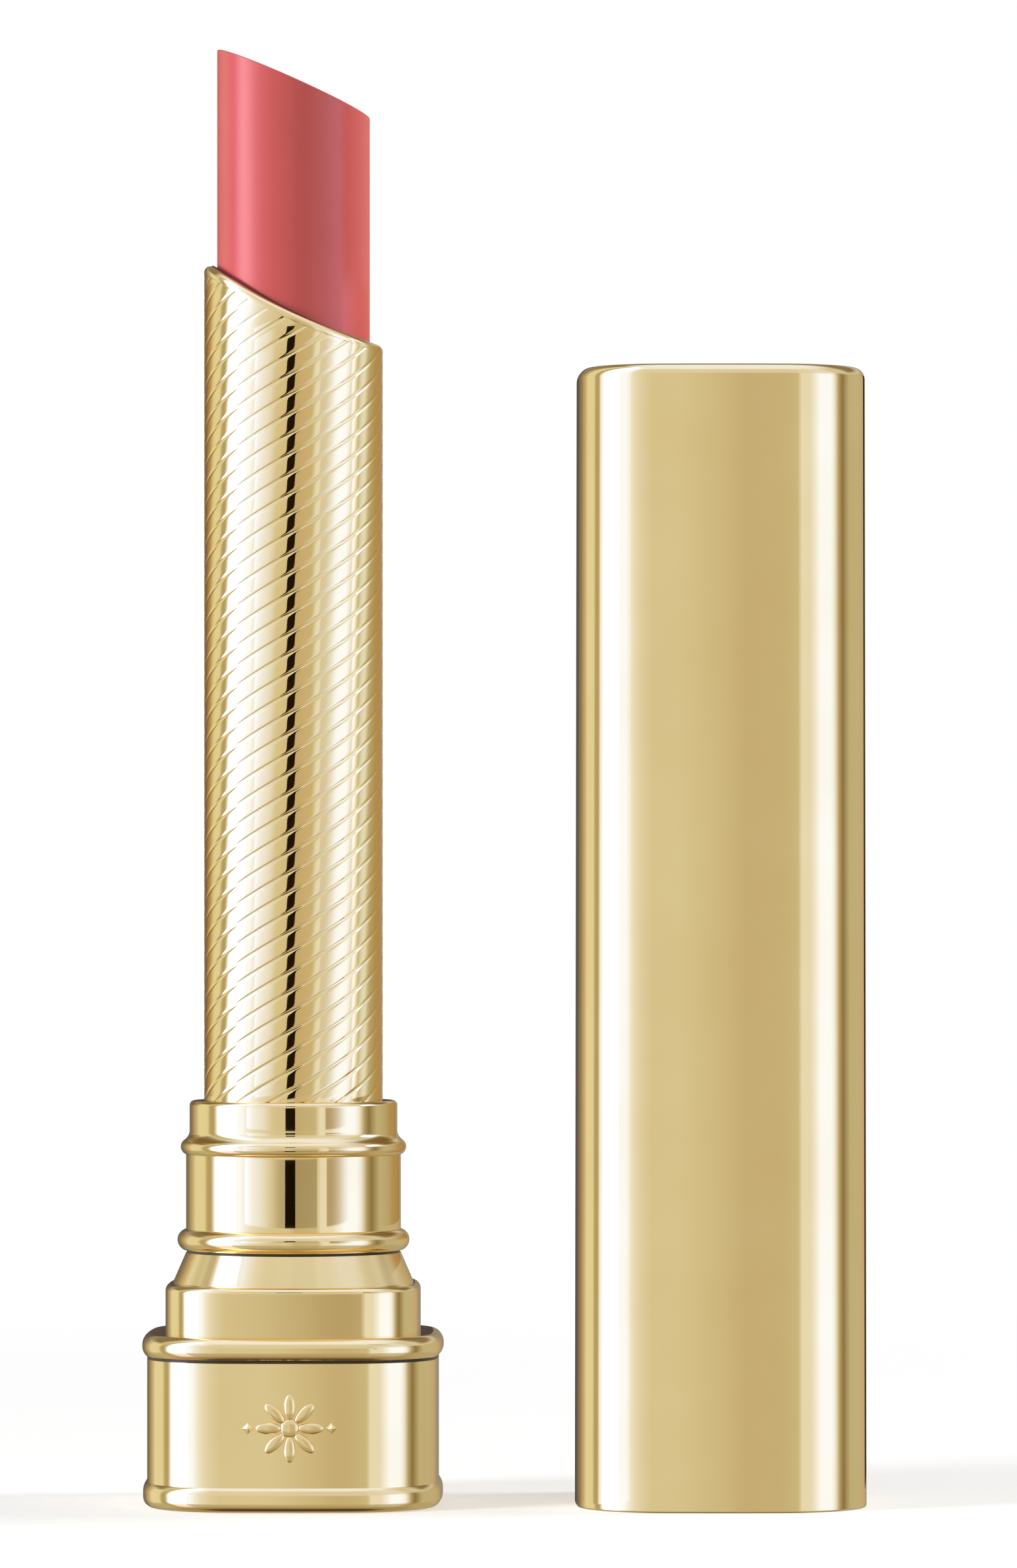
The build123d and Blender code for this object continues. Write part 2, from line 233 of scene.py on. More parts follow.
# ---- Mesh building -------------------------------------------------------------------------
def new_piece(name, points, faces, body, material, slot, nodes=(), sharp=35):
    """A smooth-shaded mesh piece in metres that rides on a body and stands for CAD nodes."""
    mesh = bpy.data.meshes.new(name)
    mesh.from_pydata([Vector(p) * MM for p in points], [], faces)
    work = bmesh.new()
    work.from_mesh(mesh)
    bmesh.ops.recalc_face_normals(work, faces=work.faces)
    work.to_mesh(mesh)
    work.free()
    mesh.shade_smooth()
    mesh.set_sharp_from_angle(angle=radians(sharp))
    mesh.materials.append(material)
    piece = bpy.data.objects.new(name, mesh)
    bpy.context.scene.collection.objects.link(piece)
    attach(piece, body)
    if nodes:
        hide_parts(*nodes)
    return piece


def skin(rings, closed=False):
    """Points and faces of a surface through rings; a ring of one point closes an end."""
    points, faces, starts = [], [], []
    for ring in rings:
        starts.append(len(points))
        points.extend(ring)
    pairs = list(zip(range(len(rings)), range(1, len(rings))))
    if closed:
        pairs.append((len(rings) - 1, 0))
    for low, high in pairs:
        a, b = starts[low], starts[high]
        count = max(len(rings[low]), len(rings[high]))
        for i in range(count):
            j = (i + 1) % count
            if len(rings[low]) == 1:
                faces.append((a, b + j, b + i))
            elif len(rings[high]) == 1:
                faces.append((a + i, a + j, b))
            else:
                faces.append((a + i, a + j, b + j, b + i))
    return points, faces


def merged(parts):
    """Several (points, faces) as one."""
    points, faces = [], []
    for part_points, part_faces in parts:
        start = len(points)
        points.extend(part_points)
        faces.extend(tuple(start + i for i in face) for face in part_faces)
    return points, faces


# ---- Materials -----------------------------------------------------------------------------
def new_material(name):
    material = bpy.data.materials.new(name)
    material.use_nodes = True
    return material, material.node_tree, material.node_tree.nodes["Principled BSDF"]


def set_inputs(node, **values):
    """Sets sockets by name, with _ for a space."""
    for name, value in values.items():
        node.inputs[name.replace("_", " ")].default_value = value


def noise(tree, scale, detail=3.0, stretch=(1, 1, 1)):
    """The factor of a noise in the object's own coordinates; scale is per metre."""
    place = tree.nodes.new("ShaderNodeTexCoord")
    mapping = tree.nodes.new("ShaderNodeMapping")
    texture = tree.nodes.new("ShaderNodeTexNoise")
    set_inputs(mapping, Scale=stretch)
    set_inputs(texture, Scale=scale, Detail=detail)
    tree.links.new(place.outputs["Object"], mapping.inputs["Vector"])
    tree.links.new(mapping.outputs["Vector"], texture.inputs["Vector"])
    return texture.outputs["Fac"]


def ranged(tree, value, low, high):
    """value from 0.3...0.7, where a noise mostly lies, to low...high."""
    node = tree.nodes.new("ShaderNodeMapRange")
    set_inputs(node, From_Min=0.3, From_Max=0.7, To_Min=low, To_Max=high)
    tree.links.new(value, node.inputs["Value"])
    return node.outputs["Result"]


def blended(tree, factor, first, second):
    """Mixes two colours, each an RGB tuple or an output socket."""
    node = tree.nodes.new("ShaderNodeMix")
    node.data_type = "RGBA"
    for socket, value in ((node.inputs["A"], first), (node.inputs["B"], second)):
        if isinstance(value, tuple):
            socket.default_value = (*value, 1)
        else:
            tree.links.new(value, socket)
    tree.links.new(factor, node.inputs["Factor"])
    return node.outputs["Result"]


def bumped(tree, shader, height, distance):
    """Bump from a height of 0...1; distance in metres."""
    node = tree.nodes.new("ShaderNodeBump")
    set_inputs(node, Strength=1.0, Distance=distance)
    tree.links.new(height, node.inputs["Height"])
    tree.links.new(node.outputs["Normal"], shader.inputs["Normal"])


METAL_CLOUD = 160.0                 # noise scale, per metre
PLASTIC_GRAIN = 0.00001             # heights of the bumps, in metres
WAX_LINES = 0.000002


def metal(name, colour, second, low, high):
    """Polished or satin metal; its roughness drifts between low and high over the surface."""
    material, tree, shader = new_material(name)
    set_inputs(shader, Metallic=1.0)
    drift = ranged(tree, noise(tree, METAL_CLOUD), 0, 1)
    tree.links.new(blended(tree, drift, colour, second), shader.inputs["Base Color"])
    haze = ranged(tree, noise(tree, 5 * METAL_CLOUD, 4.0), low, high)
    tree.links.new(haze, shader.inputs["Roughness"])
    return material


# The studio is bluer than white light, so that gold can look white in it. This tint of the
# reflections of wax and plastic undoes that.
STUDIO_TINT = (1.0, 0.75, 0.34, 1)


def plastic(name, colour, second, roughness):
    """Moulded plastic with a faint grain."""
    material, tree, shader = new_material(name)
    set_inputs(shader, Specular_Tint=STUDIO_TINT)
    drift = ranged(tree, noise(tree, 220.0), 0, 1)
    tree.links.new(blended(tree, drift, colour, second), shader.inputs["Base Color"])
    fine = noise(tree, 2600.0, 2.0)
    haze = ranged(tree, fine, roughness - 0.05, roughness + 0.05)
    tree.links.new(haze, shader.inputs["Roughness"])
    bumped(tree, shader, fine, PLASTIC_GRAIN)
    return material


def lipstick_wax():
    """Satin wax: coloured body with light scattered in it, faint drag lines up its side."""
    material, tree, shader = new_material("lipstick_wax")
    set_inputs(shader, IOR=1.54, Specular_IOR_Level=1.0, Specular_Tint=STUDIO_TINT)
    set_inputs(shader, Subsurface_Weight=0.08, Subsurface_Scale=0.0004)
    set_inputs(shader, Subsurface_Radius=(1.0, 0.35, 0.3))
    drift = ranged(tree, noise(tree, 260.0), 0, 1)
    colour = blended(tree, drift, (0.81, 0.106, 0.125), (0.77, 0.097, 0.116))
    tree.links.new(colour, shader.inputs["Base Color"])
    lines = noise(tree, 1500.0, 3.0, (1, 1, 0.03))
    tree.links.new(ranged(tree, lines, 0.27, 0.33), shader.inputs["Roughness"])
    bumped(tree, shader, lines, WAX_LINES)
    return material


GOLD = (0.92, 0.69, 0.31)
GOLD_DEEP = (0.90, 0.66, 0.285)
gold = metal("polished_gold", GOLD, GOLD_DEEP, 0.03, 0.055)
gold_engraved = metal("engraved_gold_finish", GOLD, GOLD_DEEP, 0.035, 0.06)
steel = metal("zinc_plated_steel", (0.62, 0.61, 0.59), (0.55, 0.54, 0.52), 0.25, 0.4)
aluminium = metal("satin_aluminium", (0.93, 0.78, 0.50), (0.90, 0.74, 0.46), 0.16, 0.26)
inner_plastic = plastic("black_moulded_plastic", (0.025, 0.024, 0.022), (0.035, 0.033, 0.03), 0.38)
liner_plastic = plastic("ivory_moulded_plastic", (0.80, 0.76, 0.66), (0.76, 0.72, 0.62), 0.42)
rubber = plastic("drag_ring_rubber", (0.02, 0.02, 0.02), (0.03, 0.03, 0.03), 0.6)
label = plastic("blank_label_film", (0.82, 0.79, 0.72), (0.78, 0.75, 0.68), 0.5)
wax = lipstick_wax()

for names, material in (
    (("base_plate", "base_core", "spiral_cam", "collar_bush", "glide_washer",
      "guide_tube", "carrier_stem"), inner_plastic),
    (("cap_liner",), liner_plastic),
    (("base_weight", "retaining_clip"), steel),
    (("drag_ring",), rubber),
    (("shade_label",), label),
):
    for name in names:
        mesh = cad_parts[name].data
        mesh.materials.clear()
        mesh.materials.append(material)


# ---- Base ----------------------------------------------------------------------------------
def base_section():
    """Closed section of the base's shell: foot bead, face, seat bead, seat, and inside."""
    foot_out = FOOT_BEAD_PROUD
    lower = (foot_out - FOOT_LOWER_ROLL, FOOT_LOWER_ROLL)
    upper = (foot_out - FOOT_UPPER_ROLL, FOOT_BEAD_HEIGHT - FOOT_UPPER_ROLL)
    foot_rise = sqrt(FOOT_UPPER_ROLL**2 - upper[0] ** 2)
    foot_end = atan2(foot_rise, -upper[0]) / pi * 180
    seat_out = SEAT_BEAD_PROUD - SEAT_BEAD_ROLL
    seat_lower = (seat_out, SEAT_Z - SEAT_BEAD_HEIGHT + SEAT_BEAD_ROLL)
    seat_upper = (seat_out, SEAT_Z - SEAT_BEAD_ROLL)
    seat_drop = sqrt(SEAT_BEAD_ROLL**2 - seat_out**2)
    seat_start = atan2(seat_drop, -seat_out) / pi * 180
    cavity_top = SEAT_Z - SEAT_WEB
    return joined(
        arc(lower, FOOT_LOWER_ROLL, -90, 0, 16),
        arc(upper, FOOT_UPPER_ROLL, 0, foot_end, 14),
        runs(
            (0, upper[1] + foot_rise),
            (0, SEAT_CREASE_Z),
            (-SEAT_CREASE_DEPTH, SEAT_CREASE_Z),
            (-SEAT_CREASE_DEPTH, SEAT_CREASE_Z + SEAT_CREASE_HEIGHT),
        ),
        arc(seat_lower, SEAT_BEAD_ROLL, -seat_start, 0, 14),
        arc(seat_upper, SEAT_BEAD_ROLL, 0, 90, 18),
        runs(
            (seat_out, SEAT_Z),
            (-PLUG_INSET, SEAT_Z),
            (-PLUG_INSET, cavity_top),
            (-BASE_WALL, cavity_top),
            (-BASE_WALL, 0),
            (foot_out - FOOT_LOWER_ROLL, 0),
        )[:-1],
    )


def build_base():
    rings = [square_ring(out, z) for out, z in base_section()]
    new_piece("base_body", *skin(rings, closed=True), "base", gold, "gold", ["base_shell"])


def build_crease_shade():
    """Painted shade: a dark piece in the crease between the face and the seat bead, standing for
    the crease's shadow.
    """
    corners = (
        (-SEAT_CREASE_DEPTH, SEAT_CREASE_Z),
        (-CREASE_SHADE_INSET, SEAT_CREASE_Z),
        (-CREASE_SHADE_INSET, SEAT_CREASE_Z + SEAT_CREASE_HEIGHT),
        (-SEAT_CREASE_DEPTH, SEAT_CREASE_Z + SEAT_CREASE_HEIGHT),
    )
    rings = [square_ring(out, z) for out, z in corners]
    new_piece("seat_crease_painted_shade", *skin(rings, closed=True), "base", inner_plastic, "inner_plastic")


def build_plug():
    """The square plug, its flat top, the cone and the bore, as one closed skin."""
    top = -PLUG_INSET - PLUG_EDGE
    rings = [square_ring(out, z) for out, z in joined(
        run((-PLUG_INSET, SEAT_Z - SEAT_WEB), (-PLUG_INSET, PLUG_TOP - PLUG_EDGE)),
        arc((top, PLUG_TOP - PLUG_EDGE), PLUG_EDGE, 0, 90, 14),
        [(top - CREASE, PLUG_TOP)],
    )]
    rings += [matched_ring(radius, z) for radius, z in joined(
        [(CONE_BASE_RADIUS + CREASE, PLUG_TOP)],
        run((CONE_BASE_RADIUS, PLUG_TOP), (NECK_RADIUS, plug_high.z)),
        runs(
            (NECK_RADIUS, plug_high.z),
            (PLUG_BORE, plug_high.z),
            (PLUG_BORE, PLUG_LEDGE_Z),
            (PLUG_HOLE, PLUG_LEDGE_Z),
            (PLUG_HOLE, plug_low.z),
        ),
    )]
    rings += [square_ring(out, z) for out, z in runs(
        (-PLUG_FLANGE_INSET - FLANGE_EDGE, plug_low.z),
        (-PLUG_FLANGE_INSET, plug_low.z + FLANGE_EDGE),
        (-PLUG_FLANGE_INSET, SEAT_Z - SEAT_WEB),
    )]
    new_piece(
        "plug_and_cone", *skin(rings, closed=True), "base", gold, "gold", ["cap_plug"], 25
    )


def ellipse(centre, long_half, short_half, turn, y, around):
    """An upright ellipse at depth y; centre is (x, z) and turn tips its long axis up from X."""
    points = []
    for i in range(around):
        a = 2 * pi * i / around
        u, v = long_half * cos(a), short_half * sin(a)
        x = centre[0] + u * cos(turn) - v * sin(turn)
        z = centre[1] + u * sin(turn) + v * cos(turn)
        points.append((x, y, z))
    return points


def dome(centre, long_half, short_half, turn, power=2.4, around=40, steps=9):
    """A boss on the front face, rooted in the wall: an ellipse with a crowned top."""
    x, z = centre
    root_y = -BODY_HALF + BASE_WALL / 2
    face_y = -BODY_HALF + SIDE_RADIUS - sqrt(SIDE_RADIUS**2 - x**2)
    rings = [[(x, root_y, z)], ellipse(centre, long_half, short_half, turn, root_y, around)]
    for step in range(steps):
        share = sin(pi / 2 * (1 - step / steps))
        y = face_y - ORNAMENT_PROUD * (1 - share**power) ** (1 / power)
        rings.append(ellipse(centre, long_half * share, short_half * share, turn, y, around))
    rings.append([(x, face_y - ORNAMENT_PROUD, z)])
    return skin(rings)


def build_ornament():
    """Eight domed petals around a domed centre, between two small pyramids."""
    parts = []
    for i in range(PETALS):
        turn = 2 * pi * i / PETALS
        centre = (PETAL_RADIUS * cos(turn), ORNAMENT_Z + PETAL_RADIUS * sin(turn))
        parts.append(dome(centre, *PETAL_HALVES, turn))
    parts.append(dome((0, ORNAMENT_Z), ROSETTE_CENTRE, ROSETTE_CENTRE, 0))
    for side in (-1, 1):
        centre = (side * DIAMOND_X, ORNAMENT_Z)
        parts.append(dome(centre, DIAMOND_HALF, DIAMOND_HALF, 0, power=1.2, around=4))
    new_piece("front_ornament", *merged(parts), "base", gold, "gold", ["base_ornament"])


# ---- Collar --------------------------------------------------------------------------------
def ring_bead(ring, below, above, steps=22):
    """Arc of a ring bead between the radii of the walls below and above it."""
    z, outer, bead = ring
    centre = outer - bead
    start = -atan2(sqrt(bead**2 - (below - centre) ** 2), below - centre) / pi * 180
    end = atan2(sqrt(bead**2 - (above - centre) ** 2), above - centre) / pi * 180
    return arc((centre, z), bead, start, end, steps)


def build_collar():
    low_bead = ring_bead(LOW_RING, TUBE_RADIUS, TUBE_RADIUS)
    high_bead = ring_bead(HIGH_RING, TUBE_RADIUS, TUBE_RADIUS + FLARE_STEP)
    flare_radius, flare_z = high_bead[-1]
    flare = [
        (
            COLLAR_RADIUS + (flare_radius - COLLAR_RADIUS) * (1 - t) ** FLARE_POWER,
            flare_z + (FLARE_TOP - flare_z) * t,
        )
        for t in (i / 10 for i in range(11))
    ]
    foot_radius = NECK_RADIUS - COLLAR_FOOT_INSET
    lip_radius = SLEEVE_RADIUS + SLEEVE_GAP
    section = joined(
        run((COLLAR_BORE, collar_low.z), (foot_radius, collar_low.z)),
        run((foot_radius, collar_low.z), low_bead[0]),
        low_bead,
        run(low_bead[-1], high_bead[0]),
        high_bead,
        flare,
        run((COLLAR_RADIUS, FLARE_TOP), (COLLAR_RADIUS, collar_high.z - COLLAR_EDGE)),
        arc((COLLAR_RADIUS - COLLAR_EDGE, collar_high.z - COLLAR_EDGE), COLLAR_EDGE, 0, 90, 12),
        runs(
            (COLLAR_RADIUS - COLLAR_EDGE, collar_high.z),
            (lip_radius, collar_high.z),
            (lip_radius, collar_high.z - COLLAR_LIP),
            (COLLAR_BORE, collar_high.z - COLLAR_LIP),
            (COLLAR_BORE, collar_low.z),
        )[:-1],
    )
    rings = [round_ring(radius, z) for radius, z in section]
    new_piece(
        "collar_body", *skin(rings, closed=True), "sleeve", gold, "gold", ["stepped_collar"], 25
    )


# ---- Engraved sleeve -----------------------------------------------------------------------
def rim_height(x):
    """Height of the scooped rim: a parabola, seen from the front, through its three heights."""
    reach = SLEEVE_RADIUS
    tilt = (RIM_LOW_Z - RIM_HIGH_Z) / (2 * reach)
    chord_mid = (RIM_LOW_Z + RIM_HIGH_Z) / 2
    return RIM_MID_Z + tilt * x + (chord_mid - RIM_MID_Z) * (x / reach) ** 2


def rim_point(turn, radial=0.0, down=0.0):
    """A point of the rim's section: radial outwards, down at right angles to the rim line."""
    step = 1e-4
    ahead, here = (
        Vector((SLEEVE_RADIUS * cos(t), SLEEVE_RADIUS * sin(t), rim_height(SLEEVE_RADIUS * cos(t))))
        for t in (turn + step, turn)
    )
    outwards = Vector((cos(turn), sin(turn), 0))
    along = (ahead - here).normalized()
    return here + outwards * radial - outwards.cross(along) * down


def groove_offset(across):
    """How far the surface lies inside the sleeve's radius; across is 0...1 between grooves."""
    from_groove = min(across, 1 - across) * GROOVE_PITCH
    if from_groove < GROOVE_WIDTH / 2:
        depth = GROOVE_DEPTH * (1 + cos(2 * pi * from_groove / GROOVE_WIDTH)) / 2
    else:
        depth = 0
    to_land_middle = (GROOVE_PITCH / 2 - from_groove) / (GROOVE_PITCH / 2)
    return depth + LAND_CROWN * to_land_middle**2


def groove_columns():
    """Where the mesh columns lie between two grooves: close in the groove, wider on the land."""
    share = GROOVE_WIDTH / 2 / GROOVE_PITCH
    near = [share * i / 5 for i in range(6)]
    land = [share + (1 - 2 * share) * i / 6 for i in range(1, 6)]
    return near + land + [1 - s for s in near[:0:-1]]


def clipped(points, faces, height):
    """The part of the faces where height is below zero, cut exactly along height zero."""
    kept, cut_at, result = list(points), {}, []

    def cut(a, b):
        key = (min(a, b), max(a, b))
        if key not in cut_at:
            share = height[key[0]] / (height[key[0]] - height[key[1]])
            first, second = points[key[0]], points[key[1]]
            cut_at[key] = len(kept)
            kept.append(tuple(p + (q - p) * share for p, q in zip(first, second)))
        return cut_at[key]

    for face in faces:
        if all(height[i] <= 0 for i in face):
            result.append(face)
        elif any(height[i] <= 0 for i in face):
            polygon = []
            for a, b in zip(face, face[1:] + face[:1]):
                if height[a] <= 0:
                    polygon.append(a)
                if (height[a] <= 0) != (height[b] <= 0):
                    polygon.append(cut(a, b))
            result.append(tuple(polygon))
    return kept, result


def shelled(points, faces, radius):
    """Closes an outer skin with an inner skin of the given radius and edges between them."""
    used = sorted({i for face in faces for i in face})
    outer = {old: new for new, old in enumerate(used)}
    count = len(used)
    solid = [points[i] for i in used]
    solid += [(x * radius / hypot(x, y), y * radius / hypot(x, y), z) for x, y, z in solid]
    skin_faces = [tuple(outer[i] for i in face) for face in faces]
    edges = dict.fromkeys(
        (a, b) for face in skin_faces for a, b in zip(face, face[1:] + face[:1])
    )
    rim = [(a, b) for a, b in edges if (b, a) not in edges]
    walls = [(b, a, a + count, b + count) for a, b in rim]
    inner = [tuple(i + count for i in reversed(face)) for face in skin_faces]
    return solid, skin_faces + inner + walls


def build_sleeve():
    """Thin wall with helical engraving, cut along the scooped rim."""
    bottom = collar_high.z - COLLAR_LIP + 0.02
    rows = ceil((RIM_HIGH_Z - bottom) / SLEEVE_ROW)
    columns = [
        (2 * pi * (start + across) / GROOVE_STARTS, groove_offset(across))
        for start in range(GROOVE_STARTS)
        for across in groove_columns()
    ]
    rings = []
    for row in range(rows + 1):
        z = bottom + (RIM_HIGH_Z - bottom) * row / rows
        twist = 2 * pi * z / GROOVE_LEAD
        ring = []
        for turn, depth in columns:
            radius = SLEEVE_RADIUS - depth
            ring.append((radius * cos(turn + twist), radius * sin(turn + twist), z))
        rings.append(ring)
    points, faces = skin(rings)
    turns = 720
    edge_heights = [rim_point(2 * pi * i / turns, 0, LIP_BAND).z for i in range(turns)]

    def above_band(point):
        """Height of a point above the lower edge of the rim's plain band."""
        position = (atan2(point[1], point[0]) / (2 * pi)) % 1 * turns
        low = int(position) % turns
        share = position - int(position)
        edge = edge_heights[low] * (1 - share) + edge_heights[(low + 1) % turns] * share
        return point[2] - edge

    points, faces = clipped(points, faces, [above_band(p) for p in points])
    new_piece(
        "sleeve_wall", *shelled(points, faces, SLEEVE_RADIUS - SLEEVE_WALL), "sleeve",
        gold_engraved, "engraved_gold", ["engraved_sleeve"],
    )


def build_rim_lip():
    """The plain rolled lip: a closed section carried along the scooped rim."""
    inner = LIP_INNER_RADIUS - SLEEVE_RADIUS
    wall = -SLEEVE_WALL + 0.03
    section = joined(
        [(-0.04, LIP_BAND + 0.02), (-0.015, LIP_BAND + 0.012), (0, LIP_BAND - 0.01)],
        run((0, LIP_BAND - 0.01), (0, LIP_ROLL)),
        [(o, -d) for o, d in arc((-LIP_ROLL, -LIP_ROLL), LIP_ROLL, 0, 90, 14)],
        [(o, -d) for o, d in arc((inner + 0.08, -0.08), 0.08, 90, 180, 5)],
        run((inner, 0.08), (inner, LIP_DEPTH)),
        run((inner, LIP_DEPTH), (wall, LIP_DEPTH + 0.1)),
        [(wall, LIP_BAND + 0.02)],
    )
    steps = 320
    rings = [
        [tuple(rim_point(2 * pi * i / steps, out, down)) for i in range(steps)]
        for out, down in section
    ]
    new_piece(
        "sleeve_lip", *skin(rings, closed=True), "sleeve",
        gold, "engraved_gold", ["engraved_sleeve"], 50,
    )


def build_rim_gap_shade():
    """Painted shade: a thin dark ring inside the lip that stands for the shadow in the gap between
    bullet and lip; no CAD node has it.
    """
    inner, outer = GAP_SHADE_INNER - SLEEVE_RADIUS, GAP_SHADE_OUTER - SLEEVE_RADIUS
    section = runs(
        (inner, LIP_DEPTH), (inner, -GAP_SHADE_RISE), (outer, -GAP_SHADE_RISE), (outer, LIP_DEPTH)
    )
    steps = 256
    rings = [
        [tuple(rim_point(2 * pi * i / steps, out, down)) for i in range(steps)]
        for out, down in section
    ]
    new_piece(
        "sleeve_gap_painted_shade", *skin(rings, closed=True), "sleeve", inner_plastic, "inner_plastic"
    )


# ---- Bullet and cup ------------------------------------------------------------------------
def build_bullet():
    """Wax stick cut on the slant, with its edge slightly rounded."""
    slope = (BULLET_LOW_Z - BULLET_HIGH_Z) / (2 * BULLET_RADIUS)
    middle = (BULLET_LOW_Z + BULLET_HIGH_Z) / 2
    bottom = cup_low.z + CUP_FLOOR
    foot = bottom + 0.1
    rows = 13

    def slanted(radius, drop):
        """A ring parallel to the cut, drop below it."""
        return [(x, y, middle + slope * x - drop) for x, y, z in round_ring(radius, 0)]

    rings = [[(0, 0, bottom)]]
    rings += [round_ring(BULLET_RADIUS * share, bottom) for share in (0.5, 0.99, 1)]
    rings.append(round_ring(BULLET_RADIUS, foot))
    for row in range(1, rows + 1):
        rings.append(round_ring(BULLET_RADIUS, foot + (BULLET_LOW_Z - 1 - bottom) * row / rows))
    rings.append(slanted(BULLET_RADIUS, BULLET_EDGE + 0.4))
    rings.append(slanted(BULLET_RADIUS, BULLET_EDGE + CREASE))
    for out, up in arc((BULLET_RADIUS - BULLET_EDGE, -BULLET_EDGE), BULLET_EDGE, 0, 90, 10):
        rings.append(slanted(out, -up))
    for share in (0.995, 0.8, 0.5, 0.2):
        rings.append(slanted((BULLET_RADIUS - BULLET_EDGE) * share, 0))
    rings.append([(0, 0, middle)])
    new_piece("lipstick_bullet", *skin(rings), "carrier", wax, "lipstick", ["bullet"], 60)


def build_cup():
    """Spun cup that grips the bullet, with a rolled rim and a rounded foot."""
    inner = CUP_RADIUS - CUP_WALL
    floor = cup_low.z + CUP_FLOOR
    roll = CUP_WALL / 2
    section = joined(
        [(0.0, cup_low.z)],
        run((CUP_AXIS, cup_low.z), (CUP_RADIUS - CUP_FOOT, cup_low.z)),
        arc((CUP_RADIUS - CUP_FOOT, cup_low.z + CUP_FOOT), CUP_FOOT, -90, 0, 12),
        run((CUP_RADIUS, cup_low.z + CUP_FOOT), (CUP_RADIUS, cup_high.z - roll)),
        arc((CUP_RADIUS - roll, cup_high.z - roll), roll, 0, 180, 14),
        run((inner, cup_high.z - roll), (inner, floor)),
        run((inner, floor), (CUP_AXIS, floor)),
        [(0.0, floor)],
    )
    rings = [round_ring(r, z) if r > 0 else [(0, 0, z)] for r, z in section]
    new_piece(
        "bullet_cup_body", *skin(rings), "carrier", aluminium, "cup_aluminium", ["bullet_cup"]
    )


# ---- Cap -----------------------------------------------------------------------------------
def drawn_in(out, z, share):
    """A ring of the cap, shrunk towards its axis."""
    ring = square_ring(out, z, CAP_X)
    return [(CAP_X + (x - CAP_X) * share, y * share, z) for x, y, z in ring]


def build_cap():
    """Drawn cap: slightly drafted square wall, rolled top edge and flat end."""

    def drafted(z):
        return -CAP_DRAFT * z / CAP_HEIGHT

    inside = CAP_HEIGHT - CAP_END
    top_out = drafted(CAP_HEIGHT) - CAP_EDGE
    roll = CAP_MOUTH_ROLL
    wall_heights = (0.16, 10, 20, 30, 40, 50, 60, CAP_HEIGHT - CAP_EDGE - CREASE)
    section = joined(
        run((-CAP_WALL, inside), (-CAP_WALL, roll)),
        arc((-CAP_WALL + roll, roll), roll, 180, 270, 5),
        arc((-roll, roll), roll, -90, 0, 6),
        [(drafted(z), z) for z in wall_heights],
        arc((top_out, CAP_HEIGHT - CAP_EDGE), CAP_EDGE, 0, 90, 16),
    )
    rings = [[(CAP_X, 0, inside)]]
    rings += [drawn_in(-CAP_WALL, inside, share) for share in (0.3, 0.7, 0.99)]
    rings += [square_ring(out, z, CAP_X) for out, z in section]
    rings += [drawn_in(top_out, CAP_HEIGHT, share) for share in (0.995, 0.7, 0.3)]
    rings.append([(CAP_X, 0, CAP_HEIGHT)])
    cap = new_piece("cap_body", *skin(rings), "cap", gold, "gold", ["cap_shell"])
    cap.visible_glossy = False


build_base()
build_crease_shade()
build_plug()
build_ornament()
build_collar()
build_sleeve()
build_rim_lip()
build_rim_gap_shade()
build_bullet()
build_cup()
build_cap()
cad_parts["cap_liner"].visible_glossy = False


# ---- Studio --------------------------------------------------------------------------------
def staged(name, points, faces, material):
    """A mesh that belongs to the studio and not to the object."""
    mesh = bpy.data.meshes.new(name)
    mesh.from_pydata([Vector(p) * MM for p in points], [], faces)
    mesh.materials.append(material)
    thing = bpy.data.objects.new(name, mesh)
    bpy.context.scene.collection.objects.link(thing)
    return thing


BACKDROP = (1.0, 1.0, 1.0)
FLOOR_RADIUS = 3000.0
FLOOR_SIDES = 96
FLOOR_Z = -0.02
FLOOR_SHADE = (0.04, 0.22)          # metres out over which the floor turns into the backdrop
DIVIDER_X = 13.4
DIVIDER_REACH = 24.0                # furthest distance, in mm, from which the divider is seen
DIVIDER_LOW_Z = 0.0
DIVIDER_HIGH_Z = BULLET_HIGH_Z + 0.2

STUDIO_GAIN = 4.2
AMBIENT = 0.24
FLOOR_FILL = 0.45

# Tones of the studio as light, relative to a white card at 1
LAMP = (3.4, 3.6, 7.2)
WHITE = (1.08, 1.42, 2.9)
CREAM = (0.98, 1.20, 2.1)
LINEN = (0.88, 1.01, 1.40)
SAND = (0.81, 0.90, 1.14)
WARM = (0.75, 0.80, 0.87)
MIDDLE = (0.68, 0.70, 0.69)
DULL = (0.62, 0.61, 0.58)
STONE = (0.66, 0.69, 0.68)
PALE = (0.83, 0.90, 0.86)
OLIVE = (0.50, 0.48, 0.38)
HONEY = (0.58, 0.60, 0.56)
RUST = (0.60, 0.52, 0.38)
AMBER = (0.42, 0.36, 0.24)
BRONZE = (0.28, 0.24, 0.16)
BROWN = (0.08, 0.06, 0.05)
BLACK = (0.02, 0.014, 0.008)
SMOKE = (0.69, 0.66, 0.61)
PALE_SMOKE = (0.96, 0.95, 0.92)
AMBER_GEL = (0.58, 0.47, 0.33)
PALE_GEL = (0.85, 0.82, 0.76)
FAINT_GEL = (1.0, 0.93, 0.83)
WARM_GEL = (0.80, 0.66, 0.43)
LIFT = (1.14, 1.24, 1.65)
BRIGHT_LIFT = (2.2, 2.7, 4.6)

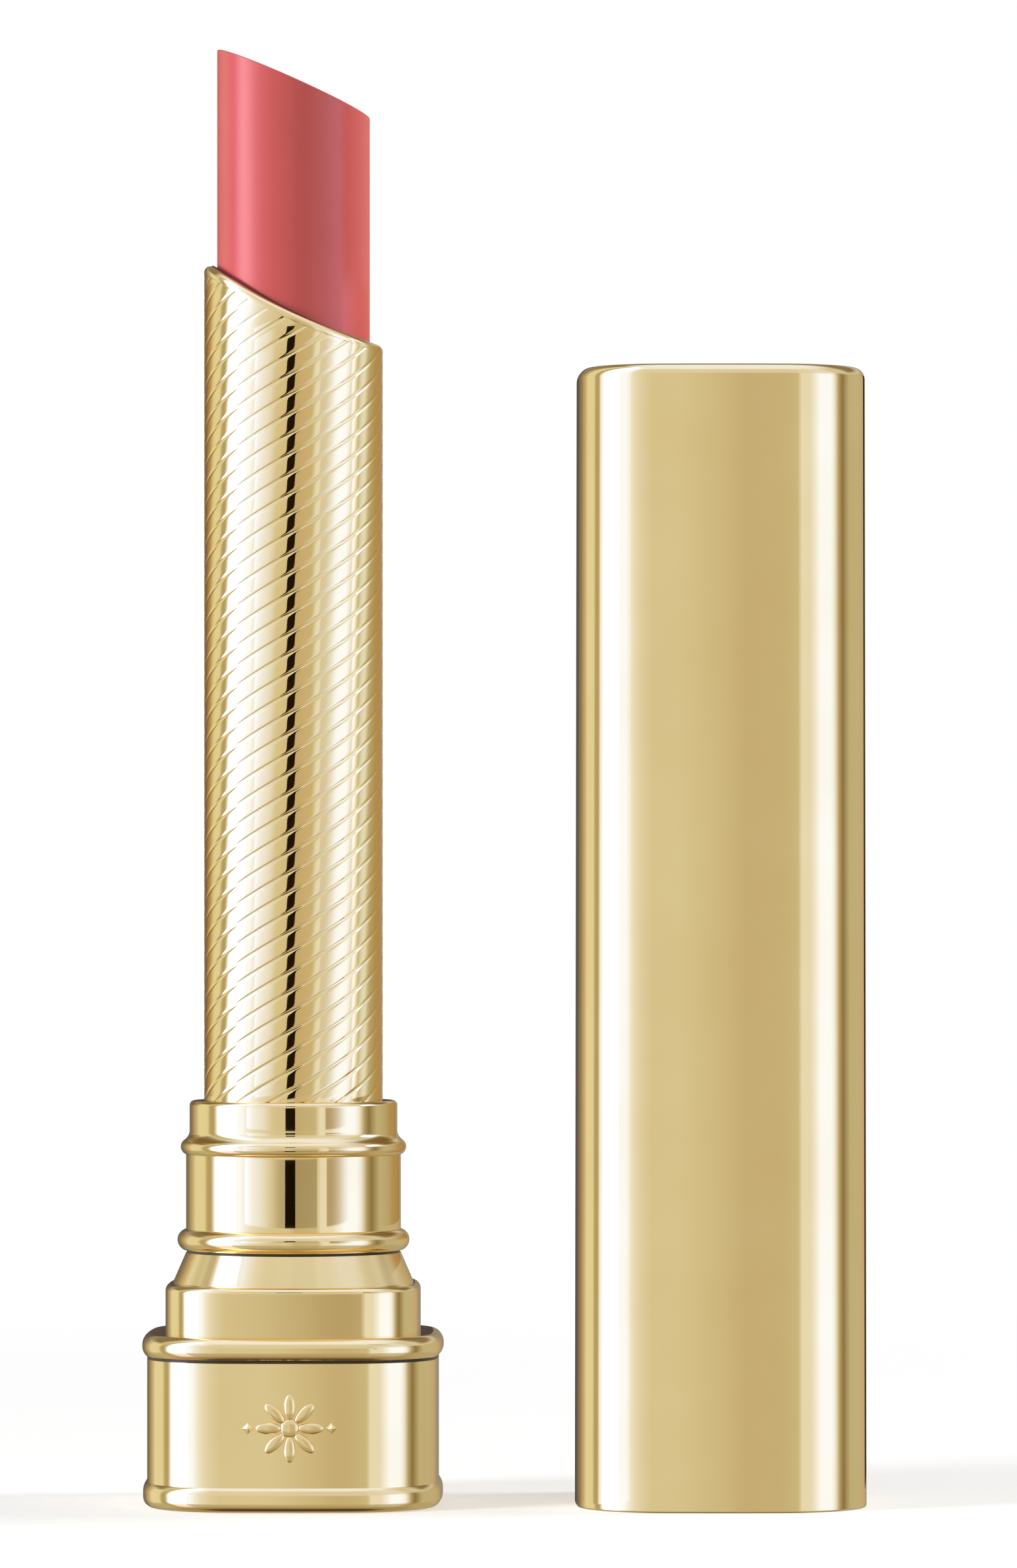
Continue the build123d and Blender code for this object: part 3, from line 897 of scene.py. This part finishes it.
# Round parts: the lowest and highest z of their cards, the nearest and furthest distance (mm)
# at which a card is seen from straight behind it, and the tints of the gel and of its edge
ROUND_PARTS = (
    ("tube", 16.9, 21.15, 6.75, 7.42, SMOKE, AMBER_GEL),
    ("collar", 22.9, 24.5, 6.95, 7.60, PALE_SMOKE, AMBER_GEL),
    ("sleeve", 24.9, 73.0, 7.75, 8.70, FAINT_GEL, PALE_GEL),
)
CARD_Y = -13.5
CARD_BOW = 0.0365
FLAG_X = (-1.25, 0.70)              # the round parts' cards, start and end
GEL_X = (-4.6, 5.2)
GEL_EDGE_X = (21, 7.8)
LIFT_X = (-3.4, -12.6)
GEL_BEYOND = 0.1                    # how far the gels stand beyond the flags, away from the case
FLANK_NEAREST = 3.5                 # keeps the outer gels out of the cap's reflections

# Other cards: start and end (x, y), lowest and highest z, tint, nearest, furthest and fade
OTHER_CARDS = (
    ("gel_plug", (-7.5, CARD_Y), (9.0, CARD_Y), 10.1, 13.5, PALE_GEL, 5.5, 6.4, (0, 0.6)),
    ("gel_left", (-12, 1.0), (-12, 15), 24.9, 76, WARM_GEL, 7.5, 17, (0, 0.25)),
    ("gel_right", (12, -2.0), (12, 15), 16.9, 76, WARM_GEL, 6.0, 17, (0, 0.4)),
    ("lift_right", (11.9, 1.2), (11.9, -4.3), 24.9, 76, BRIGHT_LIFT, 7.5, 9.2, (0, 0.85)),
    ("lift_front", (11.9, -5.5), (11.9, -4.3), 24.9, 76, BRIGHT_LIFT, 7.5, 9.2, (0, 1)),
    ("flag_cap", (41.4, 3.0), (41.4, 40), 0, 72, BLACK, 15, 28, (0, 0.1)),
)

# Bearing in degrees, 0 towards the front and positive to the right, and the tone there
STUDIO = (
    (-180, BROWN), (-152, BRONZE), (-138, RUST), (-128, PALE), (-110, PALE), (-104, OLIVE),
    (-98, OLIVE), (-93, CREAM), (-88, LAMP), (-67, LAMP), (-64, WHITE), (-58, WHITE),
    (-51, CREAM), (-43, LINEN), (-34, SAND), (-20, WARM), (-4, WARM), (1, MIDDLE), (4, DULL),
    (26, STONE), (31, LINEN), (43, LINEN), (50, CREAM), (57, WHITE), (73, WHITE), (79, CREAM),
    (87, OLIVE), (94, BRONZE), (108, HONEY), (128, HONEY), (146, RUST), (180, BRONZE),
)

# The same for the divider: y in mm, front to back, and the tone there
DIVIDER = (
    (-14.8, CREAM), (-13.0, WHITE), (-10.9, WHITE), (-10.3, LAMP), (-7.6, LAMP), (-6.9, WHITE),
    (-6.2, CREAM), (-5.7, OLIVE), (-4.9, OLIVE), (-4.3, PALE), (-2.2, PALE), (-0.6, RUST),
    (3.0, BRONZE), (7.0, BRONZE),
)

SOFTBOX_HEIGHT = 0.15
SOFTBOX_DISTANCE = 0.6
SOFTBOX_SIZE = (0.16, 0.5)
SOFTBOX_POWER = 3.4
SOFTBOX_AIM = (0.01, 0, 0.06)

CAMERA_PLACE = (0.0133, -0.5, 0.0387)
CAMERA_SENSOR = 36
CAMERA_LENS = 185.6
CAMERA_SHIFT = 0.0588
CAMERA_CLIP = (0.01, 20)


def math_node(tree, operation, *values):
    """The result of a math node; each value is a number or an output socket."""
    node = tree.nodes.new("ShaderNodeMath")
    node.operation = operation
    for socket, value in zip(node.inputs, values):
        if isinstance(value, (int, float)):
            socket.default_value = value
        else:
            tree.links.new(value, socket)
    return node.outputs["Value"]


def smooth_between(tree, value, low, high):
    """value from low...high to 0...1, easing at both ends; low may be the larger."""
    node = tree.nodes.new("ShaderNodeMapRange")
    node.interpolation_type = "SMOOTHSTEP"
    set_inputs(node, From_Min=low, From_Max=high)
    tree.links.new(value, node.inputs["Value"])
    return node.outputs["Result"]


def scaled(tone):
    """A tone as a colour that STUDIO_GAIN brightens back to it."""
    return tuple(c / STUDIO_GAIN for c in tone)


def fill_ramp(stops, places):
    """Fills a new colour ramp, which starts with two stops, from (place, tone) pairs."""
    for number, (place, tone) in enumerate(places):
        stop = stops[number] if number < 2 else stops.new(place)
        stop.position = place
        stop.color = (*scaled(tone), 1)


def build_world():
    """A studio of soft cards for reflections, even light for matt surfaces, white behind."""
    world = bpy.data.worlds.new("studio")
    bpy.context.scene.world = world
    world.use_nodes = True
    world.cycles.sampling_method = "NONE"
    tree = world.node_tree
    tree.nodes.clear()
    direction = tree.nodes.new("ShaderNodeTexCoord").outputs["Generated"]
    split = tree.nodes.new("ShaderNodeSeparateXYZ")
    tree.links.new(direction, split.inputs["Vector"])
    x, y, z = (split.outputs[axis] for axis in "XYZ")
    bearing = math_node(tree, "ARCTAN2", x, math_node(tree, "MULTIPLY", y, -1.0))
    turn = math_node(tree, "MULTIPLY_ADD", bearing, 1 / (2 * pi), 0.5)
    ramp = tree.nodes.new("ShaderNodeValToRGB")
    tree.links.new(turn, ramp.inputs["Fac"])
    fill_ramp(ramp.color_ramp.elements, [(at / 360 + 0.5, tone) for at, tone in STUDIO])
    colour = ramp.outputs["Color"]
    # Higher up the bands fade to sand, less so on the left, to dark behind, and to cream overhead
    on_left = smooth_between(tree, turn, 0.46, 0.38)
    most = math_node(tree, "MULTIPLY_ADD", on_left, -0.5, 0.8)
    raised = math_node(tree, "MULTIPLY", smooth_between(tree, z, 0.20, 0.42), most)
    colour = blended(tree, raised, colour, scaled(SAND))
    behind = math_node(
        tree, "MULTIPLY", smooth_between(tree, y, 0.2, 0.5), smooth_between(tree, z, 0.3, 0.5)
    )
    colour = blended(tree, behind, colour, scaled(BRONZE))
    colour = blended(tree, smooth_between(tree, z, 0.74, 0.95), colour, scaled(CREAM))
    # Lower down they fade to the table's tones
    down = math_node(tree, "MULTIPLY", z, -1.0)
    lowered = math_node(tree, "MULTIPLY", smooth_between(tree, down, 0.20, 0.42), 0.8)
    colour = blended(tree, lowered, colour, scaled(OLIVE))
    colour = blended(tree, smooth_between(tree, down, 0.60, 0.85), colour, scaled(AMBER))
    colour = blended(tree, smooth_between(tree, down, 0.88, 0.98), colour, scaled(BROWN))
    # Which of the three a ray meets
    rays = tree.nodes.new("ShaderNodeLightPath")
    reflected = tree.nodes.new("ShaderNodeBackground")
    tree.links.new(colour, reflected.inputs["Color"])
    set_inputs(reflected, Strength=STUDIO_GAIN)
    even = tree.nodes.new("ShaderNodeBackground")
    set_inputs(even, Color=(1, 1, 1, 1), Strength=AMBIENT)
    white = tree.nodes.new("ShaderNodeBackground")
    set_inputs(white, Color=(*BACKDROP, 1), Strength=1.0)
    matt_or_gloss = tree.nodes.new("ShaderNodeMixShader")
    tree.links.new(rays.outputs["Is Glossy Ray"], matt_or_gloss.inputs["Fac"])
    tree.links.new(even.outputs["Background"], matt_or_gloss.inputs[1])
    tree.links.new(reflected.outputs["Background"], matt_or_gloss.inputs[2])
    seen = tree.nodes.new("ShaderNodeMixShader")
    tree.links.new(rays.outputs["Is Camera Ray"], seen.inputs["Fac"])
    tree.links.new(matt_or_gloss.outputs["Shader"], seen.inputs[1])
    tree.links.new(white.outputs["Background"], seen.inputs[2])
    output = tree.nodes.new("ShaderNodeOutputWorld")
    tree.links.new(seen.outputs["Shader"], output.inputs["Surface"])


def build_floor():
    """Pale floor that takes soft shadows near the object and runs into the backdrop."""
    material, tree, shader = new_material("pale_floor")
    set_inputs(shader, Base_Color=(0.9, 0.9, 0.9, 1), Roughness=0.9, Specular_IOR_Level=0.0)
    place = tree.nodes.new("ShaderNodeTexCoord")
    distance = tree.nodes.new("ShaderNodeVectorMath")
    distance.operation = "LENGTH"
    tree.links.new(place.outputs["Object"], distance.inputs[0])
    away = smooth_between(tree, distance.outputs["Value"], *FLOOR_SHADE)
    glow = tree.nodes.new("ShaderNodeEmission")
    set_inputs(glow, Color=(*BACKDROP, 1), Strength=1.0)
    lit = tree.nodes.new("ShaderNodeMixShader")
    tree.links.new(away, lit.inputs["Fac"])
    fill = tree.nodes.new("ShaderNodeEmission")
    set_inputs(fill, Color=(*BACKDROP, 1), Strength=FLOOR_FILL)
    near = tree.nodes.new("ShaderNodeAddShader")
    tree.links.new(shader.outputs["BSDF"], near.inputs[0])
    tree.links.new(fill.outputs["Emission"], near.inputs[1])
    tree.links.new(near.outputs["Shader"], lit.inputs[1])
    tree.links.new(glow.outputs["Emission"], lit.inputs[2])
    clear = tree.nodes.new("ShaderNodeBsdfTransparent")
    side = tree.nodes.new("ShaderNodeNewGeometry")
    both = tree.nodes.new("ShaderNodeMixShader")
    tree.links.new(side.outputs["Backfacing"], both.inputs["Fac"])
    tree.links.new(lit.outputs["Shader"], both.inputs[1])
    tree.links.new(clear.outputs["BSDF"], both.inputs[2])
    tree.links.new(both.outputs["Shader"], tree.nodes["Material Output"].inputs["Surface"])
    ring = round_ring(FLOOR_RADIUS, FLOOR_Z, FLOOR_SIDES)
    floor = staged("floor", ring, [tuple(range(FLOOR_SIDES))], material)
    floor.visible_glossy = False
    floor.visible_diffuse = False


def only_reflected(card):
    """Hides a card from everything but glossy rays."""
    card.visible_camera = False
    card.visible_diffuse = False
    card.visible_shadow = False
    card.visible_transmission = False


def reflected_card(name, start, end, low, high, tint, nearest, furthest, fade=None, bow=0.0):
    """A gel that only reflections see, from surfaces nearest...furthest (mm) away.

    It stands upright from start to end, both (x, y). fade is how far along it, 0...1, it is
    clear and how far along it is full. A tint above 1 brightens what lies behind the gel.
    bow widens both distances with the square of x, as a round part's flanks see the card.
    """
    material = bpy.data.materials.new(name)
    material.use_nodes = True
    tree = material.node_tree
    tree.nodes.clear()
    gel = tree.nodes.new("ShaderNodeBsdfTransparent")
    split = tree.nodes.new("ShaderNodeSeparateXYZ")
    place = tree.nodes.new("ShaderNodeTexCoord")
    tree.links.new(place.outputs["Object"], split.inputs["Vector"])
    x = split.outputs["X"]
    length = tree.nodes.new("ShaderNodeLightPath").outputs["Ray Length"]
    squared = math_node(tree, "MULTIPLY", x, x)
    length = math_node(tree, "MULTIPLY_ADD", squared, -bow / MM, length)
    amount = math_node(
        tree, "MULTIPLY",
        math_node(tree, "GREATER_THAN", length, nearest * MM),
        math_node(tree, "LESS_THAN", length, furthest * MM),
    )
    if fade:
        run_x, run_y = end[0] - start[0], end[1] - start[1]
        along_x = abs(run_x) > abs(run_y)
        axis, origin, reach = ("X", start[0], run_x) if along_x else ("Y", start[1], run_y)
        clear_at, full_at = ((origin + reach * share) * MM for share in fade)
        across = smooth_between(tree, split.outputs[axis], clear_at, full_at)
        amount = math_node(tree, "MULTIPLY", amount, across)
    tree.links.new(blended(tree, amount, (1.0, 1.0, 1.0), tint), gel.inputs["Color"])
    output = tree.nodes.new("ShaderNodeOutputMaterial")
    tree.links.new(gel.outputs["BSDF"], output.inputs["Surface"])
    corners = [(*start, low), (*end, low), (*end, high), (*start, high)]
    only_reflected(staged(name, corners, [(0, 1, 2, 3)], material))


def build_cards():
    """Black flags that draw the dark stripe up the round parts, and gels that shade beside it."""

    def at_depth(span, y):
        return [(x, y) for x in span]

    gel_y = CARD_Y - GEL_BEYOND
    for part, low, high, near, far, tint, edge_tint in ROUND_PARTS:
        reflected_card("flag_" + part, *at_depth(FLAG_X, CARD_Y), low, high, BLACK, near, far)
        reflected_card(
            "gel_" + part, *at_depth(GEL_X, gel_y), low, high, tint,
            near, far, (0, 0.3), CARD_BOW,
        )
        reflected_card(
            "gel_edge_" + part, *at_depth(GEL_EDGE_X, gel_y), low, high, edge_tint,
            FLANK_NEAREST, far, (0, 1), CARD_BOW,
        )
        reflected_card(
            "lift_" + part, *at_depth(LIFT_X, gel_y), low, high, LIFT,
            FLANK_NEAREST, far, (0, 0.4), CARD_BOW,
        )
    for card in OTHER_CARDS:
        reflected_card(*card)


def build_divider():
    """A card between cap and case that only the cap's left side reflects; its tones run along Y."""
    material = bpy.data.materials.new("divider")
    material.use_nodes = True
    tree = material.node_tree
    tree.nodes.clear()
    split = tree.nodes.new("ShaderNodeSeparateXYZ")
    tree.links.new(tree.nodes.new("ShaderNodeTexCoord").outputs["Object"], split.inputs["Vector"])
    front, back = DIVIDER[0][0] * MM, DIVIDER[-1][0] * MM
    along = tree.nodes.new("ShaderNodeMapRange")
    set_inputs(along, From_Min=front, From_Max=back)
    tree.links.new(split.outputs["Y"], along.inputs["Value"])
    ramp = tree.nodes.new("ShaderNodeValToRGB")
    places = [((y * MM - front) / (back - front), tone) for y, tone in DIVIDER]
    fill_ramp(ramp.color_ramp.elements, places)
    tree.links.new(along.outputs["Result"], ramp.inputs["Fac"])
    card = tree.nodes.new("ShaderNodeEmission")
    set_inputs(card, Strength=STUDIO_GAIN)
    tree.links.new(ramp.outputs["Color"], card.inputs["Color"])
    clear = tree.nodes.new("ShaderNodeBsdfTransparent")
    away = tree.nodes.new("ShaderNodeMixShader")
    length = tree.nodes.new("ShaderNodeLightPath").outputs["Ray Length"]
    hidden = math_node(
        tree, "MAXIMUM",
        math_node(tree, "GREATER_THAN", length, DIVIDER_REACH * MM),
        tree.nodes.new("ShaderNodeNewGeometry").outputs["Backfacing"],
    )
    tree.links.new(hidden, away.inputs["Fac"])
    tree.links.new(card.outputs["Emission"], away.inputs[1])
    tree.links.new(clear.outputs["BSDF"], away.inputs[2])
    output = tree.nodes.new("ShaderNodeOutputMaterial")
    tree.links.new(away.outputs["Shader"], output.inputs["Surface"])
    front_y, back_y = DIVIDER[0][0], DIVIDER[-1][0]
    corners = [
        (DIVIDER_X, front_y, DIVIDER_LOW_Z),
        (DIVIDER_X, back_y, DIVIDER_LOW_Z),
        (DIVIDER_X, back_y, DIVIDER_HIGH_Z),
        (DIVIDER_X, front_y, DIVIDER_HIGH_Z),
    ]
    only_reflected(staged("divider", corners, [(0, 1, 2, 3)], material))


def softbox(name, bearing):
    """A tall soft light aimed at the object; bearing in degrees, 0 at the front."""
    lamp = bpy.data.lights.new(name, "AREA")
    lamp.shape = "RECTANGLE"
    lamp.size, lamp.size_y = SOFTBOX_SIZE
    lamp.energy = SOFTBOX_POWER
    light = bpy.data.objects.new(name, lamp)
    turn = radians(bearing)
    light.location = (
        SOFTBOX_DISTANCE * sin(turn), -SOFTBOX_DISTANCE * cos(turn), SOFTBOX_HEIGHT
    )
    aim = Vector(SOFTBOX_AIM) - light.location
    light.rotation_mode = "QUATERNION"
    light.rotation_quaternion = aim.to_track_quat("-Z", "Y")
    bpy.context.scene.collection.objects.link(light)
    light.visible_glossy = False
    light.visible_camera = False


def build_camera():
    camera_data = bpy.data.cameras.new("camera")
    camera = bpy.data.objects.new("camera", camera_data)
    camera_data.sensor_width = CAMERA_SENSOR
    camera_data.lens = CAMERA_LENS
    camera_data.shift_y = CAMERA_SHIFT
    camera_data.clip_start, camera_data.clip_end = CAMERA_CLIP
    camera.location = CAMERA_PLACE
    camera.rotation_euler = (radians(90), 0, 0)
    bpy.context.scene.collection.objects.link(camera)
    bpy.context.scene.camera = camera


build_world()
build_floor()
build_cards()
build_divider()
softbox("softbox_left", -60)
softbox("softbox_right", 98)
build_camera()
bpy.context.scene.view_settings.view_transform = "Standard"
